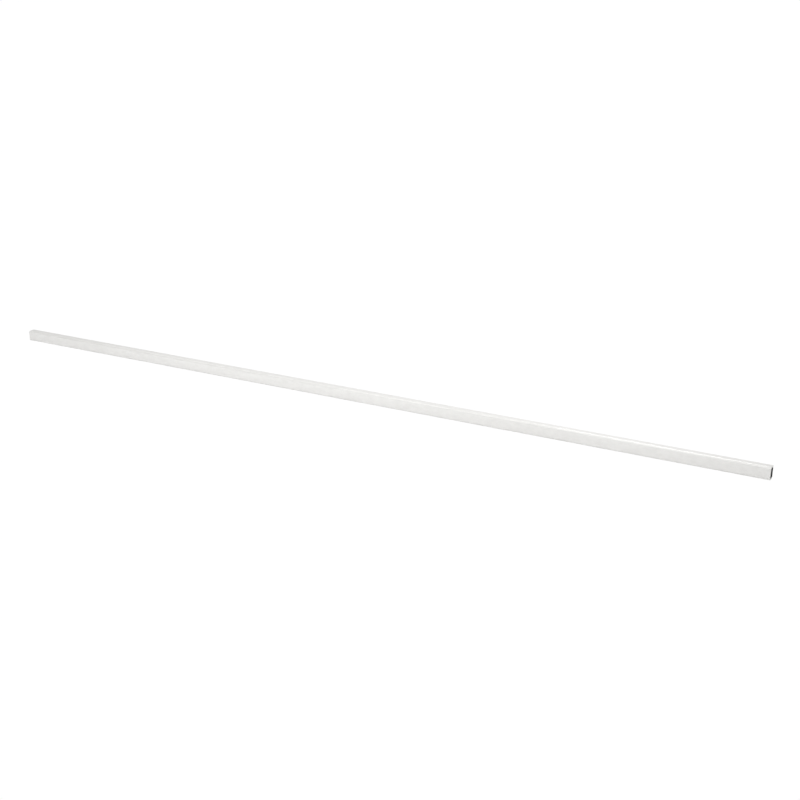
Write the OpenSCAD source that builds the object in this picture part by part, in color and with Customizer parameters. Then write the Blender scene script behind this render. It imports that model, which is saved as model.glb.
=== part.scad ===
// White hollow shaft: one straight tube of rounded rectangular section, open at both ends,
// with a white coating over its outside and over both cut ends. The bore is bare metal.
//
// Frame: the shaft lies along X and is centred on the origin, with +Z up. Its underside
// rests on z = 0, and the width of the section runs along Y. All sizes are millimetres.

/* [Shaft] */
// Length over both coated ends
shaft_length = 1170; // [300:10:1500]
// Width of the section over the coating
section_width = 12.5; // [10:0.5:30]
// Height of the section over the coating
section_height = 16; // [10:0.5:30]
// Outside radius of the four long corners
corner_radius = 3; // [2:0.1:4]
// Thickness of the metal wall
metal_wall = 1.7; // [0.8:0.1:1.8]

/* [Coating] */
// Thickness of the white coating
coat_thickness = 0.1; // [0.06:0.01:0.15]

/* [Hidden] */
$fn = 48;

// The metal tube is smaller than the finished shaft by the coating all round.
metal_length = shaft_length - 2 * coat_thickness;
// The bore is open end to end. It is set in from the outside by the coating and the wall.
bore_inset = coat_thickness + metal_wall;
// Length by which a cutter runs past each end.
overrun = 1;

// The outline of the shaft, set in from the outside by inset. The corners stay concentric.
module section(inset) {
    width = section_width - 2 * inset;
    height = section_height - 2 * inset;
    radius = corner_radius - inset;
    square([width, height - 2 * radius], center = true);
    square([width - 2 * radius, height], center = true);
    for (side = [-1, 1], level = [-1, 1])
        translate([side * (width / 2 - radius), level * (height / 2 - radius)])
            circle(r = radius);
}

// A solid bar of that outline, centred along X, at the height at which the shaft lies.
module bar(length, inset) {
    translate([-length / 2, 0, section_height / 2])
        rotate([90, 0, 90])
            linear_extrude(height = length)
                section(inset);
}

// The hollow through the shaft, cut clear of both ends.
module bore() {
    bar(shaft_length + 2 * overrun, bore_inset);
}

// The bare metal tube, which carries the load.
module shaft_tube() {
    color("dimgray")
        difference() {
            bar(metal_length, coat_thickness);
            bore();
        }
}

// The coating: a thin closed skin on the tube's four sides and two cut ends.
module white_coat() {
    color("white")
        difference() {
            bar(shaft_length, 0);
            bar(metal_length, coat_thickness);
            bore();
        }
}

shaft_tube();
white_coat();
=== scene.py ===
import math

import bpy
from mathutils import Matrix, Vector


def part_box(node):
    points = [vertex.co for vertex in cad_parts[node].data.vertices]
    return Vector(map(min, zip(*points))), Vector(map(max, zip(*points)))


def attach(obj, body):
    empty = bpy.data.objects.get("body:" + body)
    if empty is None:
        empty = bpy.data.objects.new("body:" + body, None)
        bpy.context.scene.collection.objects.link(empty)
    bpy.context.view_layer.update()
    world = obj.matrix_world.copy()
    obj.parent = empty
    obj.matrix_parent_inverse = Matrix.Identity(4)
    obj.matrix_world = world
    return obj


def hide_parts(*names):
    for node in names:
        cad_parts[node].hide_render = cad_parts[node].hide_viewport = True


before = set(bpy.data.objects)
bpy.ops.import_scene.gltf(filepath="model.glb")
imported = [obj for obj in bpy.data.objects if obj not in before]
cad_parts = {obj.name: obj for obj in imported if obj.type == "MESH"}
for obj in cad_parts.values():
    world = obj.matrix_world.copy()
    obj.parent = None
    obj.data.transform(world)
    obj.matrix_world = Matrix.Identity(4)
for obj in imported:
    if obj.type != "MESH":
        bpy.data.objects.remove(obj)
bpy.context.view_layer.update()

# The shaft lies along X on z = 0, near end towards +X. All lengths are in metres.
coatLow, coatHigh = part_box("white_coat")
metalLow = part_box("shaft_tube")[0]
shaftLength, shaftWidth, shaftHeight = coatHigh - coatLow
coatThickness = metalLow.z - coatLow.z
shaftMiddle = (coatLow + coatHigh) / 2

shaftSection = {
    "cornerRadius": 0.003,  # outside radius of the long corners
    "wall": 0.0018,         # metal and coating together
}


class Link:
    # an output socket that can stand in a sum: each operator adds one Math node

    def __init__(self, graph, socket):
        self.graph = graph
        self.socket = socket

    def math(self, operation, *values):
        return self.graph.add("ShaderNodeMath", {"operation": operation}, dict(enumerate(values)))

    def __add__(self, other):
        return self.math("ADD", self, other)

    def __radd__(self, other):
        return self.math("ADD", other, self)

    def __sub__(self, other):
        return self.math("SUBTRACT", self, other)

    def __rsub__(self, other):
        return self.math("SUBTRACT", other, self)

    def __mul__(self, other):
        return self.math("MULTIPLY", self, other)

    def __rmul__(self, other):
        return self.math("MULTIPLY", other, self)

    def __truediv__(self, other):
        return self.math("DIVIDE", self, other)

    def __neg__(self):
        return self.math("MULTIPLY", self, -1.0)

    def __abs__(self):
        return self.math("ABSOLUTE", self)

    def above(self, low, high):
        # 0 below low, 1 over high, smooth between
        return self.graph.add(
            "ShaderNodeMapRange",
            {"interpolation_type": "SMOOTHSTEP"},
            {"Value": self, "From Min": low, "From Max": high},
        )


class Graph:
    # a node tree under construction

    def __init__(self, tree):
        self.tree = tree

    def add(self, kind, settings=None, inputs=None, output=0):
        node = self.tree.nodes.new(kind)
        for name, value in (settings or {}).items():
            setattr(node, name, value)
        for name, value in (inputs or {}).items():
            self.feed(node.inputs[name], value)
        return Link(self, node.outputs[output]) if node.outputs else None

    def feed(self, socket, value):
        if isinstance(value, Link):
            self.tree.links.new(value.socket, socket)
        else:
            socket.default_value = value

    def vector(self, x=0.0, y=0.0, z=0.0):
        return self.add("ShaderNodeCombineXYZ", None, {"X": x, "Y": y, "Z": z})

    def switch(self, dataType, index, choices):
        # picks the choice whose number is index
        node = self.tree.nodes.new("GeometryNodeIndexSwitch")
        node.data_type = dataType
        while len(node.index_switch_items) < len(choices):
            node.index_switch_items.new()
        self.feed(node.inputs["Index"], index)
        for number, choice in enumerate(choices):
            self.feed(node.inputs[number + 1], choice)
        return Link(self, node.outputs[0])


cameraPlace = {
    "lens": 52.5,        # millimetres, on a 36 mm sensor
    "azimuth": 29.86,    # degrees round from the front towards the near end
    "elevation": 18.8,   # degrees above the floor
    "distance": 1.555,   # from the aim
    "aimAlong": 0.0975,  # how far the aim lies from the middle towards the near end
    "aimAbove": 0.0048,  # and above the shaft's middle
}


def outward(azimuth, elevation):
    # the direction of a point seen from the object, 0 degrees being the front, -Y
    turn, rise = math.radians(azimuth), math.radians(elevation)
    level = math.cos(rise)
    return Vector((math.sin(turn) * level, -math.cos(turn) * level, math.sin(rise)))


def makeCamera(place):
    data = bpy.data.cameras.new("camera")
    data.lens = place["lens"]
    data.sensor_width = 36.0
    data.clip_start, data.clip_end = 0.01, 100.0
    camera = bpy.data.objects.new("camera", data)
    back = outward(place["azimuth"], place["elevation"])
    aim = shaftMiddle + Vector((place["aimAlong"], 0, place["aimAbove"]))
    camera.location = aim + back * place["distance"]
    camera.rotation_euler = back.to_track_quat("Z", "Y").to_euler()
    bpy.context.scene.collection.objects.link(camera)
    bpy.context.scene.camera = camera


makeCamera(cameraPlace)
print("camera placed")


def newMaterial(name):
    material = bpy.data.materials.new(name)
    material.use_nodes = True
    material.node_tree.nodes.clear()
    return material, Graph(material.node_tree)


def finishMaterial(graph, shader):
    graph.add("ShaderNodeOutputMaterial", None, {"Surface": shader})


def placeOnShaft(graph):
    # object coordinates, and how far along, across and up from the shaft's middle a point lies
    point = graph.add("ShaderNodeTexCoord", None, None, "Object")
    parts = graph.tree.nodes.new("ShaderNodeSeparateXYZ")
    graph.feed(parts.inputs[0], point)
    along, across, up = (Link(graph, parts.outputs[axis]) for axis in "XYZ")
    return point, along, across, up - shaftMiddle.z


def stretched(graph, point, scale):
    return graph.add("ShaderNodeMapping", None, {"Vector": point, "Scale": scale})


def noise(graph, point, scale, detail=2.0, roughness=0.5):
    inputs = {"Vector": point, "Scale": scale, "Detail": detail, "Roughness": roughness}
    return graph.add("ShaderNodeTexNoise", None, inputs, "Fac")


def blendColours(graph, amount, first, second):
    # inputs 6 and 7 are the node's colour sockets, and output 2 its colour
    node = graph.tree.nodes.new("ShaderNodeMix")
    node.data_type = "RGBA"
    graph.feed(node.inputs[0], amount)
    graph.feed(node.inputs[6], first)
    graph.feed(node.inputs[7], second)
    return Link(graph, node.outputs[2])


def bump(graph, height, depth, under=None):
    # relief of that depth in metres, laid over the relief under it
    inputs = {"Height": height, "Distance": depth, "Strength": 1.0}
    if under:
        inputs["Normal"] = under
    return graph.add("ShaderNodeBump", None, inputs, "Normal")


whiteCoatFinish = {
    "white": (0.862, 0.855, 0.837, 1),
    "thinWhite": (0.79, 0.782, 0.762, 1),  # where the layer is thin
    "cornerThin": 0.25,      # how far thinWhite shows on the long corners
    "cornerCloud": 0.5,      # what the drifts in tone add to it there
    "cloudThin": 0.25,       # and on the flats
    "cloudRange": (0.45, 0.75),
    "lipThin": 0.2,
    "lipReach": 0.0012,      # how far the thin lip runs in from each cut end
    "cornerBlend": 0.7,      # share of a corner's round over which it fades in
    "cloudSize": 0.045,      # slow drifts in the layer's tone
    "cloudStretch": 0.25,    # below 1, a pattern is drawn out along the shaft
    "mottleGrey": (0.73, 0.723, 0.706, 1),
    "mottleSize": 0.007,     # the layer's uneven thickness, seen as a faint mottle
    "mottleStretch": 0.6,
    "mottleRange": (0.35, 0.65),
    "mottle": 0.3,
    "speckGrey": (0.42, 0.41, 0.39, 1),
    "speckSpacing": 0.006,
    "speckSize": 0.00016,
    "speckCore": 0.6,        # share of a speck's radius inside its soft edge
    "speckChance": (0.86, 0.9),  # only cells with a tone above this hold a speck
    "speckTone": 0.7,
    "roughness": 0.34,
    "cloudRoughness": 0.08,
    "wipeRoughness": 0.06,
    "cornerSmoothness": 0.04,
    "wipeScale": 2200,       # fine marks of wiping and handling, per metre across them
    "wipeStretch": 0.012,
    "wipeRange": (0.5, 0.8),
    "wipeGrain": 0.6,        # how much of the fine relief they make
    "ior": 1.5,
    "gloss": 0.5,            # how much of the surface the clear top of the layer covers
    "glossRoughness": 0.14,
    "peelSize": 0.0022,      # ripples of the cured layer
    "peelDepth": 0.000006,
    "grainSize": 0.00025,
    "grainDepth": 0.0000006,
    "waveSize": 0.11,        # long unevenness of the wall under the coating
    "waveDepth": 0.00003,
}


def whiteCoatMaterial(finish):
    material, graph = newMaterial("whitePowderCoat")
    point, along, across, up = placeOnShaft(graph)
    radius = shaftSection["cornerRadius"]

    # 1 on the middle of the long corners, 0 on the flats
    pastSide = (abs(across) - (shaftWidth / 2 - radius)) / radius
    pastTop = (abs(up) - (shaftHeight / 2 - radius)) / radius
    blend = finish["cornerBlend"]
    corner = pastSide.above(0.0, blend) * pastTop.above(0.0, blend)
    lip = abs(along).above(shaftLength / 2 - finish["lipReach"], shaftLength / 2)

    cloudPoint = stretched(graph, point, (finish["cloudStretch"], 1, 1))
    cloud = noise(graph, cloudPoint, 1 / finish["cloudSize"], detail=3.0)
    mottlePoint = stretched(graph, point, (finish["mottleStretch"], 1, 1))
    mottle = noise(graph, mottlePoint, 1 / finish["mottleSize"], detail=3.0, roughness=0.7)
    wipePoint = stretched(graph, point, (finish["wipeStretch"], 1, 1))
    wipe = noise(graph, wipePoint, finish["wipeScale"], detail=3.0, roughness=0.65)
    peel = noise(graph, point, 1 / finish["peelSize"], detail=1.5, roughness=0.4)
    grain = noise(graph, point, 1 / finish["grainSize"])
    wave = noise(graph, point, 1 / finish["waveSize"], detail=1.0)

    # one cell in about eight holds a tiny speck
    cells = graph.tree.nodes.new("ShaderNodeTexVoronoi")
    graph.feed(cells.inputs["Vector"], point)
    cells.inputs["Scale"].default_value = 1 / finish["speckSpacing"]
    cellColour = Link(graph, cells.outputs["Color"])
    cellTone = graph.add("ShaderNodeSeparateColor", None, {0: cellColour})
    size = finish["speckSize"] / finish["speckSpacing"]
    outside = Link(graph, cells.outputs["Distance"]).above(size * finish["speckCore"], size)
    speck = (1 - outside) * cellTone.above(*finish["speckChance"])

    thinCorner = corner * (finish["cornerThin"] + finish["cornerCloud"] * cloud)
    thinFlat = cloud.above(*finish["cloudRange"]) * finish["cloudThin"]
    thin = thinCorner + thinFlat + lip * finish["lipThin"]
    tone = blendColours(graph, thin, finish["white"], finish["thinWhite"])
    mottled = mottle.above(*finish["mottleRange"]) * finish["mottle"]
    tone = blendColours(graph, mottled, tone, finish["mottleGrey"])
    tone = blendColours(graph, speck * finish["speckTone"], tone, finish["speckGrey"])

    rough = finish["roughness"] + (cloud - 0.5) * finish["cloudRoughness"]
    rough = rough + wipe.above(*finish["wipeRange"]) * finish["wipeRoughness"]
    rough = rough - corner * finish["cornerSmoothness"]

    normal = bump(graph, wave, finish["waveDepth"])
    normal = bump(graph, peel, finish["peelDepth"], normal)
    normal = bump(graph, grain + wipe * finish["wipeGrain"], finish["grainDepth"], normal)
    shader = graph.add(
        "ShaderNodeBsdfPrincipled",
        None,
        {
            "Base Color": tone,
            "Roughness": rough,
            "IOR": finish["ior"],
            "Coat Weight": finish["gloss"],
            "Coat Roughness": finish["glossRoughness"],
            "Normal": normal,
        },
    )
    finishMaterial(graph, shader)
    return material


boreMetalAndShade = {
    # both bore colours are far darker than bare metal: painted shade inside the tube, laid over the
    # metal's own dull tone
    "shadedDark": (0.007, 0.007, 0.0075, 1),
    "light": (0.035, 0.035, 0.037, 1),
    "metallic": 0.85,
    "roughness": 0.48,
    "drawScale": 3800,        # lines left by drawing the tube, per metre across them
    "drawStretch": 0.006,     # below 1, a pattern is drawn out along the tube
    "drawTone": 0.4,
    "drawRoughness": 0.2,
    "drawDepth": 0.000015,
    "oxideSize": 0.012,
    "oxideStretch": 0.4,
    "oxideRange": (0.35, 0.7),
    "oxideTone": 0.6,
    "oxideRoughness": 0.15,
    "pitScale": 5200,
    "pitShare": 0.3,          # depth of the pits against that of the lines
    "powder": (0.8, 0.8, 0.79, 1),
    "powderRoughness": 0.6,
    "powderScale": 3000,
    "powderRange": (0.62, 0.7),
    "oversprayReach": 0.003,  # how far grains of powder got into the bore
    "overspray": 0.25,
}


def boreMetalMaterial(finish):
    material, graph = newMaterial("bareMetalPaintedShade")
    point, along = placeOnShaft(graph)[:2]
    drawnPoint = stretched(graph, point, (finish["drawStretch"], 1, 1))
    drawn = noise(graph, drawnPoint, finish["drawScale"], detail=3.0, roughness=0.6)
    oxidePoint = stretched(graph, point, (finish["oxideStretch"], 1, 1))
    oxide = noise(graph, oxidePoint, 1 / finish["oxideSize"], detail=4.0, roughness=0.6)
    pits = noise(graph, point, finish["pitScale"])

    # the bore's painted shade, varied at random by oxide patches and drawing lines
    paleness = oxide.above(*finish["oxideRange"]) * finish["oxideTone"] + drawn * finish["drawTone"]
    tone = blendColours(graph, paleness, finish["shadedDark"], finish["light"])
    rough = finish["roughness"] + (drawn - 0.5) * finish["drawRoughness"]
    rough = rough + (oxide - 0.5) * finish["oxideRoughness"]
    normal = bump(graph, drawn, finish["drawDepth"])
    normal = bump(graph, pits, finish["drawDepth"] * finish["pitShare"], normal)
    metal = graph.add(
        "ShaderNodeBsdfPrincipled",
        None,
        {"Base Color": tone, "Metallic": finish["metallic"], "Roughness": rough, "Normal": normal},
    )
    powder = graph.add(
        "ShaderNodeBsdfPrincipled",
        None,
        {"Base Color": finish["powder"], "Roughness": finish["powderRoughness"], "Normal": normal},
    )
    reach = abs(along).above(shaftLength / 2 - finish["oversprayReach"], shaftLength / 2)
    grains = noise(graph, point, finish["powderScale"]).above(*finish["powderRange"])
    dusted = grains * reach * finish["overspray"]
    shader = graph.add("ShaderNodeMixShader", None, {0: dusted, 1: metal, 2: powder})
    finishMaterial(graph, shader)
    return material


coatMaterial = whiteCoatMaterial(whiteCoatFinish)
metalMaterial = boreMetalMaterial(boreMetalAndShade)
print("materials made")

# Both pieces are one rule: an outline of the wall, given by its (along, inset, rounding) corners,
# is carried round the rounded section. Inset is measured inwards from the shaft's outside.

wallShape = {
    "Length": shaftLength,
    "Width": shaftWidth,
    "Height": shaftHeight,
    "Middle Height": shaftMiddle.z,
    "Corner Radius": shaftSection["cornerRadius"],
    "Wall": shaftSection["wall"],
    "Coating": coatThickness,
    "Lip Radius": 0.00035,
    "Bore Edge Radius": 0.00004,
}
cornerSteps = 14  # points on each long corner of the section
lipSteps = 5      # points on each rounded corner of the outline
lengthCuts = 58   # cuts in each long run of the outline
longRun = 10      # a run is long when it is more than this many walls


def coatCorners(size):
    # a thin skin: along the outside, over both cut ends, and back along the metal
    end, skin, wall = size["Length"] / 2, size["Coating"], size["Wall"]
    lip, edge = size["Lip Radius"], size["Bore Edge Radius"]
    return [
        (end, 0.0, lip),
        (end, wall, edge),
        (end - skin, wall, edge),
        (end - skin, skin, lip - skin),
        (skin - end, skin, lip - skin),
        (skin - end, wall, edge),
        (-end, wall, edge),
        (-end, 0.0, lip),
    ]


def metalCorners(size):
    # the solid wall inside that skin
    end, skin, wall = size["Length"] / 2 - size["Coating"], size["Coating"], size["Wall"]
    lip, edge = size["Lip Radius"] - size["Coating"], size["Bore Edge Radius"]
    return [(end, skin, lip), (end, wall, edge), (-end, wall, edge), (-end, skin, lip)]


def wallTree(name, cornersOf, material):
    tree = bpy.data.node_groups.new(name, "GeometryNodeTree")
    graph = Graph(tree)
    tree.interface.new_socket("Geometry", in_out="OUTPUT", socket_type="NodeSocketGeometry")
    for label in wallShape:
        tree.interface.new_socket(label, in_out="INPUT", socket_type="NodeSocketFloat")
    entry = tree.nodes.new("NodeGroupInput")
    size = {label: Link(graph, entry.outputs[label]) for label in wallShape}

    # the outline of the wall: one closed curve through its corners, each rounded by its own radius
    corners = cornersOf(size)
    index = graph.add("GeometryNodeInputIndex")
    spots = [graph.vector(-inset, along) for along, inset, rounding in corners]
    places = graph.switch("VECTOR", index, spots)
    roundings = graph.switch("FLOAT", index, [rounding for along, inset, rounding in corners])
    outline = graph.add("GeometryNodePoints", None, {"Count": len(corners), "Position": places})
    outline = graph.add("GeometryNodePointsToCurves", None, {"Points": outline})
    outline = graph.add("GeometryNodeSetSplineCyclic", None, {"Geometry": outline, "Cyclic": True})
    outline = graph.add(
        "GeometryNodeFilletCurve",
        {"mode": "POLY"},
        {"Curve": outline, "Count": lipSteps, "Radius": roundings, "Limit Radius": True},
    )

    # its long runs are cut into stretches
    here = graph.add("GeometryNodeInputPosition")
    after = graph.add("GeometryNodeOffsetPointInCurve", None, {"Offset": 1}, "Point Index")
    there = graph.add(
        "GeometryNodeFieldAtIndex", {"data_type": "FLOAT_VECTOR"}, {"Value": here, "Index": after}
    )
    run = graph.add("ShaderNodeVectorMath", {"operation": "DISTANCE"}, {0: here, 1: there}, "Value")
    isLong = graph.add(
        "FunctionNodeCompare", {"operation": "GREATER_THAN"}, {0: run, 1: size["Wall"] * longRun}
    )
    cuts = lengthCuts * isLong
    outline = graph.add("GeometryNodeSubdivideCurve", None, {"Curve": outline, "Cuts": cuts})

    # the section of the shaft, which carries that outline round
    sides = {"Width": size["Width"], "Height": size["Height"]}
    path = graph.add("GeometryNodeCurvePrimitiveQuadrilateral", None, sides)
    path = graph.add(
        "GeometryNodeFilletCurve",
        {"mode": "POLY"},
        {"Curve": path, "Count": cornerSteps, "Radius": size["Corner Radius"]},
    )
    path = graph.add("GeometryNodeSetCurveNormal", {"mode": "Z_UP"}, {"Curve": path})
    wall = graph.add("GeometryNodeCurveToMesh", None, {"Curve": path, "Profile Curve": outline})

    # the outline stood along Z while it was carried: now it lies along X
    lying = {
        "Geometry": wall,
        "Translation": graph.vector(0.0, 0.0, size["Middle Height"]),
        "Rotation": (math.pi / 2, 0, math.pi / 2),
    }
    wall = graph.add("GeometryNodeTransform", None, lying)
    wall = graph.add("GeometryNodeSetShadeSmooth", None, {"Geometry": wall})
    wall = graph.add("GeometryNodeRealizeInstances", None, {"Geometry": wall})
    wall = graph.add("GeometryNodeSetMaterial", None, {"Geometry": wall, "Material": material})
    graph.add("NodeGroupOutput", None, {"Geometry": wall})
    return tree


def makeWall(name, cornersOf, material):
    tree = wallTree(name + "Tree", cornersOf, material)
    source = bpy.data.objects.new(name + "Source", bpy.data.meshes.new(name + "Source"))
    bpy.context.scene.collection.objects.link(source)
    modifier = source.modifiers.new("wall", "NODES")
    modifier.node_group = tree
    for item in tree.interface.items_tree:
        if item.in_out == "INPUT":
            modifier[item.identifier] = wallShape[item.name]
    weighted = source.modifiers.new("flats", "WEIGHTED_NORMAL")
    weighted.weight = 100  # the large flats decide the shading at their edges
    settled = source.evaluated_get(bpy.context.evaluated_depsgraph_get())
    mesh = bpy.data.meshes.new_from_object(settled)
    mesh.name = name
    bpy.data.objects.remove(source)
    piece = bpy.data.objects.new(name, mesh)
    bpy.context.scene.collection.objects.link(piece)
    print(name, len(mesh.polygons), "faces")
    return piece


coat = makeWall("whiteCoatSkin", coatCorners, coatMaterial)
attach(coat, "root")
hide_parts("white_coat")

tube = makeWall("bareTube", metalCorners, metalMaterial)
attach(tube, "root")
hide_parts("shaft_tube")

studioLook = {
    "floorSize": 40.0,
    "floorGrey": 0.8,
    "floorGlow": 0.2,  # the floor is a pale panel lit from below
    "skyLight": 0.26,
    "seenWhite": 1.01,  # floor and sky as the camera sees them
}


def makeFloor(look):
    material, graph = newMaterial("paleFloor")
    # the glow is even, so aiming rays at it would only add grain
    material.cycles.emission_sampling = "NONE"
    grey = graph.add("ShaderNodeBsdfDiffuse", None, {"Color": (look["floorGrey"],) * 3 + (1,)})
    glow = graph.add("ShaderNodeEmission", None, {"Strength": look["floorGlow"]})
    lit = graph.add("ShaderNodeAddShader", None, {0: grey, 1: glow})
    white = graph.add("ShaderNodeEmission", None, {"Strength": look["seenWhite"]})
    seen = graph.add("ShaderNodeLightPath", None, None, "Is Camera Ray")
    finishMaterial(graph, graph.add("ShaderNodeMixShader", None, {0: seen, 1: lit, 2: white}))
    half = look["floorSize"] / 2
    mesh = bpy.data.meshes.new("floor")
    corners = [(-half, -half, 0), (half, -half, 0), (half, half, 0), (-half, half, 0)]
    mesh.from_pydata(corners, [], [(0, 1, 2, 3)])
    mesh.materials.append(material)
    floor = bpy.data.objects.new("floor", mesh)
    bpy.context.scene.collection.objects.link(floor)


def makeSky(look):
    world = bpy.data.worlds.new("studio")
    bpy.context.scene.world = world
    world.use_nodes = True
    world.node_tree.nodes.clear()
    graph = Graph(world.node_tree)
    seen = graph.add("ShaderNodeLightPath", None, None, "Is Camera Ray")
    strength = seen * look["seenWhite"] + (1 - seen) * look["skyLight"]
    sky = graph.add("ShaderNodeBackground", None, {"Color": (1, 1, 1, 1), "Strength": strength})
    graph.add("ShaderNodeOutputWorld", None, {"Surface": sky})


# each box hangs at its place, faces its aim and gives its power in watts
softBoxes = {
    "frontCeiling": {
        "place": (0, -0.68, 1.15),
        "aim": (0, -0.68, 0),
        "size": (1.6, 0.8),
        "power": 16.5,
    },
    "backCeiling": {
        "place": (0, 1.0, 1.15),
        "aim": (0, 0, 0),
        "size": (0.6, 0.6),
        "power": 11.0,
    },
}


def makeSoftBox(name, box):
    data = bpy.data.lights.new(name, "AREA")
    data.shape = "RECTANGLE"
    data.size, data.size_y = box["size"]
    data.energy = box["power"]
    light = bpy.data.objects.new(name, data)
    place, aim = Vector(box["place"]), Vector(box["aim"])
    light.location = place
    light.rotation_euler = (place - aim).to_track_quat("Z", "Y").to_euler()
    light.visible_camera = False
    bpy.context.scene.collection.objects.link(light)


makeFloor(studioLook)
makeSky(studioLook)
for name, box in softBoxes.items():
    makeSoftBox(name, box)
bpy.context.scene.view_settings.view_transform = "Standard"
print("studio lit")
